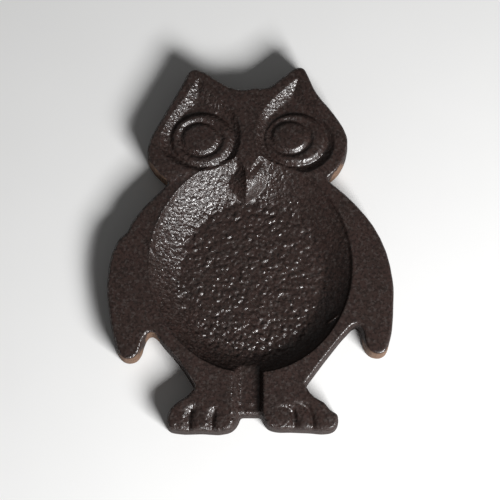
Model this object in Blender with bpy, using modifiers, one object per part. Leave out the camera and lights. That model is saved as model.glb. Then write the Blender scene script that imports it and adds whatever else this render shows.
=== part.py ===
"""An owl-shaped cast-iron dish that lies flat on a table, on six round felt pads.

The owl faces up (+Z), its head points to +Y and its feet to -Y. The table is at Z = 0.
All sizes below are in millimetres, and MM turns them into Blender's metres.
"""

import math

import bmesh
import bpy
from mathutils import Matrix

MM = 0.001
QUARTER_TURN = math.pi / 2

# Heights above the table
TABLE = 0.0
RIM_Z = 1.0  # the lower edge of the casting, which the pads keep off the table
BODY_Z = 12.4  # the top of the wings, the shoulders and the legs
HEAD_Z = 13.0  # the top of the head plate
BOWL_FLOOR_Z = 4.5
BOWL_UNDER_Z = 1.6
CHANNEL_Z = 8.2  # the floor of the trough between the legs
POCKET_Z = 8.0  # the ceiling of the hollow in the underside
CLEAR = 2.0  # how far a cutter stands out of the face that it cuts

# The edge of the casting: an upright strip, then how far each step goes in, and how high it ends
EDGE_STRIP = 0.2
DRAFT = ((0.6, 10.6), (0.3, 12.0), (0.5, 12.7), (0.6, HEAD_Z))

# The bowl in the belly is a turned hollow, made a little longer than it is wide. It leans, so
# that its wall is wider below the head than above the trough.
BOWL_CENTRE = (0.4, -11.0)  # of the floor
BOWL_LENGTHEN = 1.075
BOWL_LEAN = 4.3 / 7.9  # how far the wall leans towards the head as it rises
BOWL_WALL = (
    (41.6, HEAD_Z + CLEAR), (40.6, HEAD_Z), (40.3, 12.4), (39.6, 11.5), (38.6, 10.5), (35.7, 8.4),
    (32.3, 6.4), (29.7, 5.0), (28.4, BOWL_FLOOR_Z),
)  # fmt: skip
BOWL_UNDER = (
    (41.9, POCKET_Z + CLEAR), (40.1, 8.1), (37.3, 6.1), (34.0, 4.1), (31.4, 2.5), (30.0, BOWL_UNDER_Z),
)  # fmt: skip

# The trough from the bowl out between the feet
CHANNEL_CENTRE_X = 0.2
CHANNEL_FLOOR_WIDTH = 7.4
CHANNEL_WALL_WIDTH = 11.0  # at CHANNEL_EDGE_DEPTH below the top, where the walls open out further
CHANNEL_TOP_WIDTH = 13.6
CHANNEL_EDGE_DEPTH = 1.0
CHANNEL_FROM_Y = -46.0
CHANNEL_TO_Y = -69.5

# The eyes: a domed mound with a ring groove around a flat pupil
EYES = {"left": (-19.2, 44.4), "right": (18.0, 44.6)}
PUPILS = {"left": (-20.2, 44.7), "right": (15.8, 45.4)}
EYE_MOUND = ((0.0, 12.6), (6.4, 12.6), (9.8, 12.3), (11.6, 11.4), (13.0, 9.2))
EYE_FLATTEN = 0.87
EYE_RING_RADIUS = 8.1
EYE_RING_THICKNESS = 1.3  # the radius of the round bar that cuts the groove
EYE_RING_Z = 12.9
EYE_RING_FLATTEN = 0.82
FACE_WALL = ((0.8, 1.8), (1.2, 1.2))  # the wall of a face disc: how far in and down each step goes

# The beak, as the corners of its base, a little below the bowl's floor, and of its top at the brow
BEAK_BASE_Z = 3.5
BEAK_BASE = ((-8.6, 31.0), (-1.7, 20.2), (9.0, 28.4), (7.2, 39.0), (-6.6, 39.0))
BEAK_TOP = ((-5.6, 36.0), (0.0, 30.5), (6.2, 35.4), (6.2, 39.0), (-5.6, 39.0))

# The feet
TOE_GROOVE_RADIUS = 1.3
TOE_GROOVE_Z = BODY_Z + 0.2  # of the grooves' centre line
TOE_ROUND = 5.0  # how far back, and how far down, the toes' tips are rounded
TOE_ROUND_SHAPE = ((1.0, 0.0), (0.5, 0.13), (0.16, 0.46), (0.0, 1.0))  # shares back and down
TOE_ROUND_HALF_LENGTH = 40.0
FEET_FRONT_Y = -73.2

# The felt pads and the bosses that they are stuck to
PAD_RADIUS = 5.0
PAD_THICKNESS = 2.0
GLUE_GAP = 0.3
BOSS_RADIUS = 6.6
RECESS_RADIUS = 5.5
PADS = {
    "felt_pad_head_left": (-18.0, 48.0),
    "felt_pad_head_right": (17.0, 48.0),
    "felt_pad_wing_left": (-49.0, -19.0),
    "felt_pad_wing_right": (49.0, -17.0),
    "felt_pad_foot_left": (-19.5, -66.0),
    "felt_pad_foot_right": (20.0, -66.0),
}

# The lower edge of the casting, clockwise from a small stub of the casting's gate at the brow.
# A third entry marks a sharp turn, and every other point lies on a smooth stretch.
OUTLINE = (
    (-1.0, 65.5), (1.8, 66.2), (4.8, 65.9),
    (8.0, 66.8), (12.4, 70.2), (16.0, 72.9), (19.2, 74.7), (22.0, 74.2),
    (23.6, 71.6), (27.1, 64.0), (34.2, 55.0), (39.3, 46.0), (39.6, 41.6), (36.2, 32.3),
    (31.6, 27.8, "sharp"),
    (42.4, 18.1), (52.4, 4.1), (57.1, -12.8), (57.3, -21.3), (54.9, -39.6), (53.0, -42.5),
    (49.6, -43.1), (46.4, -41.4), (44.8, -37.6), (44.0, -33.1), (42.0, -31.2), (38.8, -33.7),
    (33.2, -40.2), (22.2, -54.6, "sharp"),
    (25.0, -58.5), (29.6, -61.3), (31.8, -64.1), (34.6, -65.9), (35.0, -68.4), (33.6, -71.9),
    (30.4, -73.2), (23.6, -72.9), (16.0, -72.6), (9.2, -72.3), (6.4, -70.9), (4.6, -66.9, "sharp"),
    (-3.6, -66.9, "sharp"), (-5.4, -70.8), (-8.6, -73.0), (-19.0, -73.2), (-29.4, -73.0),
    (-32.2, -71.9), (-33.1, -68.8), (-32.4, -65.0), (-29.2, -61.3), (-24.8, -58.3),
    (-22.1, -55.4, "sharp"),
    (-27.5, -46.9), (-34.4, -38.9), (-37.4, -35.3), (-39.4, -34.5), (-41.2, -36.3), (-44.2, -43.7),
    (-47.6, -45.2), (-51.0, -44.0), (-52.9, -40.2), (-56.7, -22.9), (-57.1, -13.2),
    (-53.2, 3.0), (-49.2, 6.8, "sharp"), (-46.9, 11.8),
    (-33.2, 26.4, "sharp"),
    (-40.8, 35.1), (-41.7, 40.4), (-35.8, 53.4), (-27.6, 67.8), (-25.4, 72.2), (-22.8, 73.9),
    (-19.4, 73.2), (-13.2, 69.4), (-7.6, 66.3), (-2.8, 65.5),
)  # fmt: skip

# The face discs are drops that run up into the ears
FACES = {
    "left": (
        (-20.8, 69.4, "sharp"), (-31.2, 54.6), (-36.0, 43.0), (-28.0, 33.4), (-19.0, 31.4),
        (-8.6, 34.0), (-3.8, 44.4), (-10.0, 59.1),
    ),
    "right": (
        (19.2, 69.8, "sharp"), (8.8, 59.9), (2.8, 45.7), (7.2, 34.2), (17.0, 31.2), (25.6, 32.4),
        (33.0, 41.6), (27.2, 55.4),
    ),
}  # fmt: skip

# The edge between the head plate and the shoulders, and the block below it that is cut down
SHOULDERS = (
    (-70.0, 26.4, "sharp"), (-33.2, 26.4, "sharp"), (-19.0, 31.5), (16.0, 31.0),
    (31.6, 27.8, "sharp"), (70.0, 27.8, "sharp"), (70.0, -80.0, "sharp"), (-70.0, -80.0, "sharp"),
)  # fmt: skip

# The hollow in the underside, which stays a wall's thickness inside the outline
POCKET = (
    (2.0, 60.8), (12.0, 63.0), (19.0, 66.0), (23.6, 60.0), (33.4, 47.6), (33.0, 38.0),
    (27.6, 27.0), (37.6, 17.4), (48.0, 3.4), (53.2, -13.0), (52.6, -28.0), (49.6, -37.6),
    (46.6, -29.0), (41.0, -26.4), (34.0, -33.4),
    (-32.0, -35.6), (-40.0, -29.6), (-45.6, -33.4), (-48.4, -39.6), (-53.0, -24.0),
    (-53.4, -12.0), (-46.0, 5.4), (-37.4, 17.6), (-29.0, 26.6), (-35.6, 36.0), (-35.0, 44.6),
    (-24.6, 62.4), (-20.4, 66.4), (-12.0, 63.0),
)  # fmt: skip

# The grooves between the toes, from the ankle side to the tip
TOE_GROOVES = (
    ((-20.0, -62.4), (-22.6, -64.0), (-23.6, -67.4), (-24.0, -76.0)),
    ((-14.0, -62.8), (-14.8, -69.0), (-14.2, -76.0)),
    ((13.2, -63.0), (16.2, -64.6), (17.2, -68.4), (17.2, -76.0)),
    ((18.8, -61.4), (22.4, -63.8), (24.2, -67.4), (24.4, -76.0)),
)

OUTLINE_STEPS = 3  # straight pieces between two points of an outline
TURN_STEPS = 48
LEVEL = 0.99  # a face whose normal is steeper than this lies level
SAME_POINT = 0.01  # points of a mesh that are closer than this are one point


def clear_scene():
    for old in list(bpy.data.objects):
        bpy.data.objects.remove(old, do_unlink=True)


def new_collection(name):
    collection = bpy.data.collections.new(name)
    bpy.context.scene.collection.children.link(collection)
    return collection


def new_material(name, colour, roughness, metallic):
    material = bpy.data.materials.new(name)
    material.use_nodes = True
    shader = material.node_tree.nodes["Principled BSDF"]
    shader.inputs["Base Color"].default_value = (*colour, 1.0)
    shader.inputs["Roughness"].default_value = roughness
    shader.inputs["Metallic"].default_value = metallic
    material.diffuse_color = (*colour, 1.0)
    return material


def add_object(name, mesh_or_curve, collection):
    thing = bpy.data.objects.new(name, mesh_or_curve)
    collection.objects.link(thing)
    return thing


def hide_cutter(cutter):
    cutter.hide_render = True
    cutter.display_type = "WIRE"
    return cutter


def boolean(target, operation, tool):
    modifier = target.modifiers.new(f"{operation.lower()}_{tool.name}", "BOOLEAN")
    modifier.operation = operation
    modifier.solver = "EXACT"
    modifier.object = tool


def curve_to_mesh(curve_object, collection):
    """The mesh of a curve object, in its place and under its name, with the curve removed."""
    bpy.context.view_layer.update()
    evaluated = curve_object.evaluated_get(bpy.context.evaluated_depsgraph_get())
    mesh = bpy.data.meshes.new_from_object(evaluated)
    place = curve_object.matrix_world.copy()
    name = curve_object.name
    bpy.data.objects.remove(curve_object, do_unlink=True)
    bm = bmesh.new()
    bm.from_mesh(mesh)
    bmesh.ops.remove_doubles(bm, verts=bm.verts, dist=SAME_POINT * MM)
    bm.to_mesh(mesh)
    bm.free()
    thing = add_object(name, mesh, collection)
    thing.matrix_world = place
    return thing


def flat_prism(name, points, low, high, collection, steps=OUTLINE_STEPS):
    """An upright prism on a closed outline, from height low to height high."""
    curve = bpy.data.curves.new(name, "CURVE")
    curve.dimensions = "2D"
    curve.fill_mode = "BOTH"
    curve.extrude = (high - low) / 2 * MM
    curve.resolution_u = steps
    spline = curve.splines.new("BEZIER")
    spline.bezier_points.add(len(points) - 1)
    spline.use_cyclic_u = True
    for bezier_point, (x, y, *mark) in zip(spline.bezier_points, points):
        bezier_point.co = (x * MM, y * MM, 0.0)
        kind = "VECTOR" if mark else "AUTO"
        bezier_point.handle_left_type = kind
        bezier_point.handle_right_type = kind
    prism = add_object(name, curve, collection)
    prism.location.z = (high + low) / 2 * MM
    return curve_to_mesh(prism, collection)


def taper_end(prism, steps, up):
    """Draws one end of a prism on in steps, each going in from the sides and further along."""
    bm = bmesh.new()
    bm.from_mesh(prism.data)
    side = 1 if up else -1
    ends = [face for face in bm.faces if face.normal.z * side > LEVEL]
    end = bmesh.ops.dissolve_faces(bm, faces=ends)["region"]
    for inward, along in steps:
        bmesh.ops.inset_region(
            bm, faces=end, use_boundary=True, use_even_offset=True, thickness=inward * MM, depth=along * MM
        )
    bm.to_mesh(prism.data)
    bm.free()


def turned(name, profile, collection, steps=TURN_STEPS):
    """A solid turned about Z from a profile of (radius, height) points, outer side top to bottom."""
    bm = bmesh.new()
    points = [(0.0, profile[0][1]), *profile, (0.0, profile[-1][1])]
    if profile[0][0] == 0.0:
        points = points[1:]
    corners = [bm.verts.new((radius * MM, 0.0, height * MM)) for radius, height in points]
    for start, end in zip(corners, corners[1:]):
        bm.edges.new((start, end))
    mesh = bpy.data.meshes.new(name)
    bm.to_mesh(mesh)
    bm.free()
    thing = add_object(name, mesh, collection)
    screw = thing.modifiers.new("turn", "SCREW")
    screw.axis = "Z"
    screw.steps = steps
    screw.render_steps = steps
    screw.use_merge_vertices = True
    screw.merge_threshold = SAME_POINT * MM
    return thing


def tube(name, points, radius, collection):
    """A round bar along a smooth open line, with filled ends."""
    curve = bpy.data.curves.new(name, "CURVE")
    curve.dimensions = "3D"
    curve.bevel_depth = radius * MM
    curve.bevel_resolution = 1
    curve.resolution_u = 3
    curve.use_fill_caps = True
    spline = curve.splines.new("BEZIER")
    spline.bezier_points.add(len(points) - 1)
    for bezier_point, (x, y, z) in zip(spline.bezier_points, points):
        bezier_point.co = (x * MM, y * MM, z * MM)
        bezier_point.handle_left_type = "AUTO"
        bezier_point.handle_right_type = "AUTO"
    return curve_to_mesh(add_object(name, curve, collection), collection)


def make_casting(parts, cutters):
    casting = flat_prism("owl_casting", OUTLINE, RIM_Z, RIM_Z + EDGE_STRIP, parts)
    heights = [RIM_Z + EDGE_STRIP] + [height for _, height in DRAFT]
    steps = [(inward, top - bottom) for (inward, _), bottom, top in zip(DRAFT, heights, heights[1:])]
    taper_end(casting, steps, up=True)

    shoulders = flat_prism("shoulder_step", SHOULDERS, BODY_Z, HEAD_Z + CLEAR, cutters)
    boolean(casting, "DIFFERENCE", hide_cutter(shoulders))
    for cutter in (make_bowl(cutters), make_channel(cutters), *make_face_discs(cutters)):
        boolean(casting, "DIFFERENCE", cutter)
    for mound in make_eye_mounds(cutters):
        boolean(casting, "UNION", mound)
    for ring in make_eye_rings(cutters):
        boolean(casting, "DIFFERENCE", ring)
    boolean(casting, "UNION", make_beak(cutters))
    boolean(casting, "DIFFERENCE", make_toe_rounding(cutters))
    for groove in make_toe_grooves(cutters):
        boolean(casting, "DIFFERENCE", groove)
    boolean(casting, "DIFFERENCE", make_pocket(cutters))
    for recess in make_pad_recesses(cutters):
        boolean(casting, "DIFFERENCE", recess)
    return casting


def bowl_shape(name, profile, cutters):
    """A turned solid, made longer and leant about the level of the bowl's floor."""
    bowl = turned(name, profile, cutters)
    bpy.context.view_layer.update()
    mesh = bpy.data.meshes.new_from_object(bowl.evaluated_get(bpy.context.evaluated_depsgraph_get()))
    bowl.modifiers.clear()
    level = Matrix.Translation((0.0, 0.0, -BOWL_FLOOR_Z * MM))
    lean = Matrix.Shear("XY", 4, (0.0, BOWL_LEAN))
    longer = Matrix.Scale(BOWL_LENGTHEN, 4, (0.0, 1.0, 0.0))
    mesh.transform(level.inverted() @ lean @ longer @ level)
    bowl.data = mesh
    bowl.location = (BOWL_CENTRE[0] * MM, BOWL_CENTRE[1] * MM, 0.0)
    return hide_cutter(bowl)


def make_bowl(cutters):
    return bowl_shape("bowl_hollow", BOWL_WALL, cutters)


def make_channel(cutters):
    """A trough with sloping sides: a prism seen from the feet, turned to lie along Y."""
    top = HEAD_Z + CLEAR
    corners = (
        (-CHANNEL_TOP_WIDTH / 2, top, "sharp"),
        (CHANNEL_TOP_WIDTH / 2, top, "sharp"),
        (CHANNEL_WALL_WIDTH / 2, BODY_Z - CHANNEL_EDGE_DEPTH, "sharp"),
        (CHANNEL_FLOOR_WIDTH / 2, CHANNEL_Z, "sharp"),
        (-CHANNEL_FLOOR_WIDTH / 2, CHANNEL_Z, "sharp"),
        (-CHANNEL_WALL_WIDTH / 2, BODY_Z - CHANNEL_EDGE_DEPTH, "sharp"),
    )
    length = CHANNEL_FROM_Y - CHANNEL_TO_Y
    channel = flat_prism("handle_channel", corners, -length / 2, length / 2, cutters, steps=1)
    channel.rotation_euler.x = QUARTER_TURN
    channel.location = (CHANNEL_CENTRE_X * MM, (CHANNEL_FROM_Y + CHANNEL_TO_Y) / 2 * MM, 0.0)
    return hide_cutter(channel)


def make_face_discs(cutters):
    for side, points in FACES.items():
        disc = flat_prism(f"face_disc_{side}", points, HEAD_Z, HEAD_Z + CLEAR, cutters)
        taper_end(disc, FACE_WALL, up=False)
        yield hide_cutter(disc)


def make_eye_mounds(cutters):
    for side, (x, y) in EYES.items():
        mound = turned(f"eye_mound_{side}", EYE_MOUND, cutters, steps=32)
        mound.location = (x * MM, y * MM, 0.0)
        mound.scale.y = EYE_FLATTEN
        yield hide_cutter(mound)


def make_eye_rings(cutters):
    for side, (x, y) in PUPILS.items():
        bpy.ops.mesh.primitive_torus_add(
            major_radius=EYE_RING_RADIUS * MM,
            minor_radius=EYE_RING_THICKNESS * MM,
            major_segments=32,
            minor_segments=8,
            location=(x * MM, y * MM, EYE_RING_Z * MM),
        )
        ring = bpy.context.object
        ring.name = f"eye_ring_{side}"
        ring.scale.y = EYE_RING_FLATTEN
        for home in list(ring.users_collection):
            home.objects.unlink(ring)
        cutters.objects.link(ring)
        yield hide_cutter(ring)


def make_beak(cutters):
    bm = bmesh.new()
    for points, height in ((BEAK_BASE, BEAK_BASE_Z), (BEAK_TOP, HEAD_Z)):
        for x, y in points:
            bm.verts.new((x * MM, y * MM, height * MM))
    hull = bmesh.ops.convex_hull(bm, input=bm.verts)
    loose = [piece for piece in hull["geom_interior"] if isinstance(piece, bmesh.types.BMVert)]
    bmesh.ops.delete(bm, geom=loose, context="VERTS")
    mesh = bpy.data.meshes.new("beak")
    bm.to_mesh(mesh)
    bm.free()
    return hide_cutter(add_object("beak", mesh, cutters))


def make_toe_rounding(cutters):
    """The block in front of a quarter-round edge that runs across both feet."""
    front = FEET_FRONT_Y - CLEAR
    top = BODY_Z + CLEAR
    shape = [(FEET_FRONT_Y + TOE_ROUND * back, BODY_Z - TOE_ROUND * down) for back, down in TOE_ROUND_SHAPE]
    shape = [(shape[0][0], top), *shape, (front, shape[-1][1]), (front, top)]
    corners = [(y, z, "sharp") for y, z in shape]
    low, high = -TOE_ROUND_HALF_LENGTH, TOE_ROUND_HALF_LENGTH
    block = flat_prism("toe_rounding", corners, low, high, cutters, steps=1)
    block.rotation_euler = (QUARTER_TURN, 0.0, QUARTER_TURN)
    return hide_cutter(block)


def make_toe_grooves(cutters):
    for number, line in enumerate(TOE_GROOVES, 1):
        points = [(x, y, TOE_GROOVE_Z - (TOE_ROUND if y < FEET_FRONT_Y else 0.0)) for x, y in line]
        yield hide_cutter(tube(f"toe_groove_{number}", points, TOE_GROOVE_RADIUS, cutters))


def make_pocket(cutters):
    """The hollow underneath, without the bowl's underside and the bosses for the pads."""
    pocket = flat_prism("underside_pocket", POCKET, RIM_Z - CLEAR, POCKET_Z, cutters)
    boolean(pocket, "DIFFERENCE", bowl_shape("bowl_underside", BOWL_UNDER, cutters))
    bottom = TABLE + PAD_THICKNESS + GLUE_GAP
    for name, (x, y) in PADS.items():
        if "foot" in name:
            continue
        profile = ((BOSS_RADIUS, POCKET_Z + CLEAR), (BOSS_RADIUS, bottom))
        boss = turned(name.replace("felt_pad", "boss"), profile, cutters, steps=16)
        boss.location = (x * MM, y * MM, 0.0)
        boolean(pocket, "DIFFERENCE", hide_cutter(boss))
    return hide_cutter(pocket)


def make_pad_recesses(cutters):
    """Each pad sits on a flat that is higher than the casting's lower edge."""
    bottom = TABLE + PAD_THICKNESS + GLUE_GAP
    for name, (x, y) in PADS.items():
        profile = ((RECESS_RADIUS, bottom), (RECESS_RADIUS, RIM_Z - CLEAR))
        recess = turned(name.replace("felt_pad", "recess"), profile, cutters, steps=24)
        recess.location = (x * MM, y * MM, 0.0)
        yield hide_cutter(recess)


def make_pad(name, place, parts):
    bm = bmesh.new()
    bmesh.ops.create_cone(
        bm,
        cap_ends=True,
        segments=32,
        radius1=PAD_RADIUS * MM,
        radius2=PAD_RADIUS * MM,
        depth=PAD_THICKNESS * MM,
    )
    mesh = bpy.data.meshes.new(name)
    bm.to_mesh(mesh)
    bm.free()
    pad = add_object(name, mesh, parts)
    pad.location = (place[0] * MM, place[1] * MM, (TABLE + PAD_THICKNESS / 2) * MM)
    return pad


def main():
    clear_scene()
    parts = new_collection("owl_dish")
    cutters = new_collection("owl_dish_cutters")
    iron = new_material("painted_cast_iron", (0.036, 0.026, 0.024), 0.42, 0.0)
    felt = new_material("black_felt", (0.02, 0.02, 0.021), 0.95, 0.0)
    casting = make_casting(parts, cutters)
    casting.data.materials.append(iron)
    for name, place in PADS.items():
        pad = make_pad(name, place, parts)
        pad.data.materials.append(felt)


main()
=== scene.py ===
"""The looks of a cast-iron owl dish: the casting as a fine, grainy mesh with its paint, and its
felt pads. The casting's outline, its lowest and highest levels and its pads come from the frame.
The relief on its top and the hollow under it are functions of x and y, in millimetres in the
frame's axes.
"""

import math

import bmesh
import bpy
import numpy as np
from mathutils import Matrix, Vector, noise
from mathutils.geometry import delaunay_2d_cdt
from mathutils.kdtree import KDTree


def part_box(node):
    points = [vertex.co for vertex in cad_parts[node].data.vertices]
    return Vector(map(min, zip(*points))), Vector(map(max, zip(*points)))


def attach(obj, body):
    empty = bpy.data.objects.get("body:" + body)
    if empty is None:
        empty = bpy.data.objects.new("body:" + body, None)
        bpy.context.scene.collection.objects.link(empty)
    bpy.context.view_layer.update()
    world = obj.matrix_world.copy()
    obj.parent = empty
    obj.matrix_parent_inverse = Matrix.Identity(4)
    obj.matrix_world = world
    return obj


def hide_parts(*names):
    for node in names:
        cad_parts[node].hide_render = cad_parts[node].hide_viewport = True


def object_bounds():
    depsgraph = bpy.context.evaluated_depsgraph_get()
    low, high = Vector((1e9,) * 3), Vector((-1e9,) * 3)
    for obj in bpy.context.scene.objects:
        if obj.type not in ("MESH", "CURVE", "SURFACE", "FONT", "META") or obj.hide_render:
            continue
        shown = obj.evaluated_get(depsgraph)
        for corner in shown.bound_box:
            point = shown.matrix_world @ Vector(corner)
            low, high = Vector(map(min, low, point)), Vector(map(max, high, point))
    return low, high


MM = 0.001

# Heights of the flat top, the bowl's floor, the trough, the hollow's ceiling and the pads' seats
BODY_Z = 12.4
FLOOR_Z = 4.5
TROUGH_Z = 8.2
POCKET_Z = 8.0
PAD_SEAT_Z = 2.3

# The mesh: the distance between its points on the parts of the casting
EDGE_STEP = 0.64
BOWL_STEP = 0.42
BEAK_STEP = 0.27
FACE_STEP = 0.50
TOP_STEP = 0.72
UNDER_STEP = 1.40
ROW_STEP = 0.5
RIM_ROWS = (-0.8, -0.5, -0.25, 0.0, 0.25, 0.55, 0.9)  # how far inside the bowl's rim each row runs
DISC_ROWS = (-0.4, 0.0, 0.5)  # how far inside the edge of a face disc each row runs
FACE_FROM_Y = 29.0
FEET_FROM_Y = -58.0
BOWL_NET_INSIDE = 0.8  # how far inside the rim the bowl's points start
OTHER_NETS_INSIDE = 0.4  # and the coarser ones end
JITTER = 0.04
JITTER_SIZE = 0.3
MERGE_WITHIN = 0.004

# How far apart the points of the smooth lines are
DISC_LINE_STEP = 0.3
LINE_STEP = 0.4
RIDGE_LINE_STEP = 0.2

# How the CAD's lower edge is found and rounded
CAD_MERGE_WITHIN = 0.002
FACING_DOWN = -0.99
LEVEL_WITHIN = 0.05
OUTLINE_ROUND = 0.55

# How far the points keep from the rows, the beak's points and the casting's edge
GAP_TO_ROWS = 0.28
GAP_TO_BEAK = 0.16
GAP_TO_EDGE = 0.30
UNDER_GAP_TO_ROWS = 0.55
UNDER_GAP_TO_EDGE = 0.45

# The casting's side wall leans in by DRAFT, and turns over into the top with EDGE_ROUND
DRAFT = 0.6
EDGE_ROUND = 1.3
LIP_ROUND = 0.3
LIP_FOOT = (0.05, 0.12)  # how far in and up the lowest ring of the side wall is
WALL_FROM = 0.03  # the share of the side wall's height where the next ring is
WALL_RINGS = 9
ROUND_RINGS = 6
WALL_GRAIN = 0.05
WALL_GRAIN_SIZE = 1.6
WALL_GRAIN_END = 0.25  # the share of the wall's height, at its top, where the grain fades

# The bowl is turned, made longer, and leans to the head: its radius at heights above its floor
BOWL_CENTRE = (0.4, -11.0)
BOWL_LENGTHEN = 1.075
BOWL_LEAN = 4.3 / 7.9
BOWL_WALL = (
    (0.0, 28.4), (0.5, 29.7), (1.9, 32.3), (3.9, 35.7), (6.0, 38.8), (6.4, 39.4), (7.9, 40.2), (9.5, 41.0),
)
PROFILE_SAMPLES = 240
PROFILE_SMOOTHING = 7  # samples on each side that are averaged
HALVINGS = 18  # of the range of heights, to find a place's own
BOWL_EDGE_ROUND = (0.5, 1.3)  # below the head, and above the legs
BOWL_EDGE_ROUND_Y = (6.0, -18.0)  # where the first starts to turn into the second, and ends
BOWL_BEAD = (0.30, 0.34)  # the height and half width of the raised line on the rim
BOWL_BEAD_INSET = 0.3
BOWL_BEAD_UP_LEFT = (0.0, 16.0)  # how far to the upper left it starts, and is in full
BOWL_BEAD_LEFT = (-4.0, -8.0)  # the same in x

# The beak is a prow: a V with a lip at the brow, and a keel from the V's tip down to the bowl's
# floor. Its left side is hollow and steep at the keel. Its front is nearly level as far as a
# shoulder, and falls away past it.
NEAR_BEAK = ((-13.0, 13.0), (17.0, 40.0))  # from and to in x, and in y
ON_BEAK = ((-9.0, 9.0), (19.0, 38.0))
BEAK_TIP = (0.3, 30.7, 12.50)
BEAK_FOOT = (-1.7, 20.6, 7.0)
BEAK_BELLY = 2.1  # above 1 the keel bulges out between its ends
BEAK_KEEL_END = 1.4  # it ends this many times as far down as the foot
BEAK_KEEL_LEAN = 0.30  # how far left it runs for each millimetre above the tip
BEAK_SHOULDER = (2.6, 0.56)  # how far right of the tip it starts, and how much it leans
BEAK_V_SLOPES = (0.60, 1.20)  # of the V's left side and of its right side
BEAK_LEFT_SLOPE = 0.40
BEAK_LEFT_STEP = (1.4, 1.0)  # how deep the hollow side is, and how wide
BEAK_FRONT_SLOPE = 0.10
BEAK_CHEEK_SLOPE = 0.75
BEAK_CHEEK_BEND = 1.5
BEAK_LIP_SLOPE = 0.55
BEAK_EDGE_ROUND = 0.2
BEAK_FILLET = 0.35
BEAK_EDGE_HALF = 6.0  # its lip lies this far each way, above BEAK_EDGE_FROM_Y
BEAK_EDGE_FROM_Y = 29.0
PROW_ABOVE_FOOT = (3.5, 6.5)  # how far above the foot its smooth front starts, and is in full
PROW_PAST_SHOULDER = (1.0, -1.0)  # the same past the shoulder
PROW_PAST_KEEL = (-1.0, 0.5)  # the same right of the foot

# The face discs, the eye mounds in them and the ring groove around each pupil
FACES = (
    {
        "disc": (
            (-20.9, 68.8), (-25.6, 62.2), (-31.0, 54.8), (-34.8, 47.9), (-35.9, 42.6), (-34.6, 38.0),
            (-30.0, 34.6), (-22.0, 31.4), (-14.0, 31.0), (-7.4, 34.6), (-4.4, 40.8), (-3.7, 46.6),
            (-5.4, 53.2), (-9.6, 58.6), (-14.2, 61.8), (-17.6, 64.6),
        ),
        "eye": (-19.2, 44.2),
        "eye_radii": (13.0, 11.4),
        "pupil": (-20.0, 44.5),
    },
    {
        "disc": (
            (19.6, 69.0), (21.4, 64.6), (24.6, 59.4), (30.2, 51.8), (33.0, 46.8), (34.0, 42.6),
            (32.6, 37.6), (28.4, 33.2), (22.0, 30.4), (13.0, 31.2), (6.4, 35.0), (3.4, 40.2),
            (2.9, 46.0), (4.6, 54.0), (8.8, 60.2), (14.0, 65.2), (17.0, 67.6),
        ),
        "eye": (18.4, 44.4),
        "eye_radii": (12.9, 11.0),
        "pupil": (16.0, 45.2),
    },
)
DISC_DEPTH = 2.35
DISC_WALL = 3.3
DISC_WALL_IN_EARS = 5.2
DISC_WALL_BEND = 1.35  # above 1 the wall is steepest at its top
DISC_WALL_OUTSIDE = 0.2  # its wall starts this far outside its line
DISC_EDGE = (-0.5, 0.4)  # how far inside the line its depth starts, and is in full
DISC_SAND_EDGE = (-0.3, 0.3)  # the same for the sand on its wall
DISC_SAND_FOOT = (1.0, -0.5)  # and past the wall's foot
EARS_Y = (52.0, 60.0)  # where the walls start to widen into the ears, and where they end
EYE_TOP = 12.75
EYE_CROWN = 0.55
EYE_DROP = 3.0
EYE_SIDE = (1.06, 0.74)  # the shares of its radii where the mound's side ends, and starts
EYE_SIDE_BEND = 2.6
EYE_REACH = 1.14  # there is no mound past this share of the radii
EYE_SAND = (0.72, 0.97)  # the shares where the sand on its side starts, and is in full
PUPIL_SMOOTH = (0.85, 0.65)  # where the smoother pupil starts, and is in full, in RING_RADII
EYE_FILLET = 0.35
RING_RADII = (8.1, 6.9)
RING_HALF_WIDTH = 1.107
RING_DEPTH = 1.2

# The neck: the head plate ends along this line, a little above the shoulders, and rises over
# NECK_RISE across it
NECK = (
    (-60.0, 26.4), (-33.0, 26.6), (-26.0, 29.0), (-19.0, 31.5),
    (16.0, 31.0), (24.0, 29.6), (31.6, 27.6), (60.0, 27.4),
)
NECK_RISE = (-1.5, 2.5)

# The trough between the legs
TROUGH_X = 0.1
TROUGH_HALF = 3.5
TROUGH_LEFT_WALL = 5.2
TROUGH_RIGHT_WALL = 1.7
TROUGH_LEFT_SHARE = 1.1
TROUGH_RIGHT_BEND = 1.3
TROUGH_RIGHT_LIMIT = 1.6  # its right wall rises over this many times its width
TROUGH_SAG = 0.12
TROUGH_FILLET = 0.5
TROUGH_FROM_Y = -47.0
TROUGH_LIP = (-64.7, 0.9, 0.5)  # where the raised end of the floor is, its half width and height

# The toes
TOE_GROOVES = (
    ((-20.0, -62.2), (-22.6, -63.8), (-23.7, -67.0), (-24.0, -76.0)),
    ((-13.9, -63.2), (-14.9, -69.0), (-14.4, -76.0)),
    ((13.0, -62.6), (16.0, -64.2), (17.2, -68.2), (17.2, -76.0)),
    ((18.6, -61.2), (22.2, -63.4), (24.2, -67.2), (24.5, -76.0)),
)
TOE_DEPTH = 1.15
TOE_GROOVE_WIDTH = 1.1
TOE_GROOVE_START = (1.0, -3.0)  # how far above its first point it starts, and is in full
TOE_VALLEY = (2.6, 0.5)  # the half width and depth of the wide dip along each groove
TOE_ROUND = 3.4
TOE_DROP = 1.7
FEET_Y = (-58.0, -67.0)  # where the legs start to turn into the feet, and end
TOE_FRONT_Y = (-64.0, -70.0)  # where the toes' tips start to round down, and end
TOE_FRONT_X = (3.0, 6.0)  # the same, from the trough outwards

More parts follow.
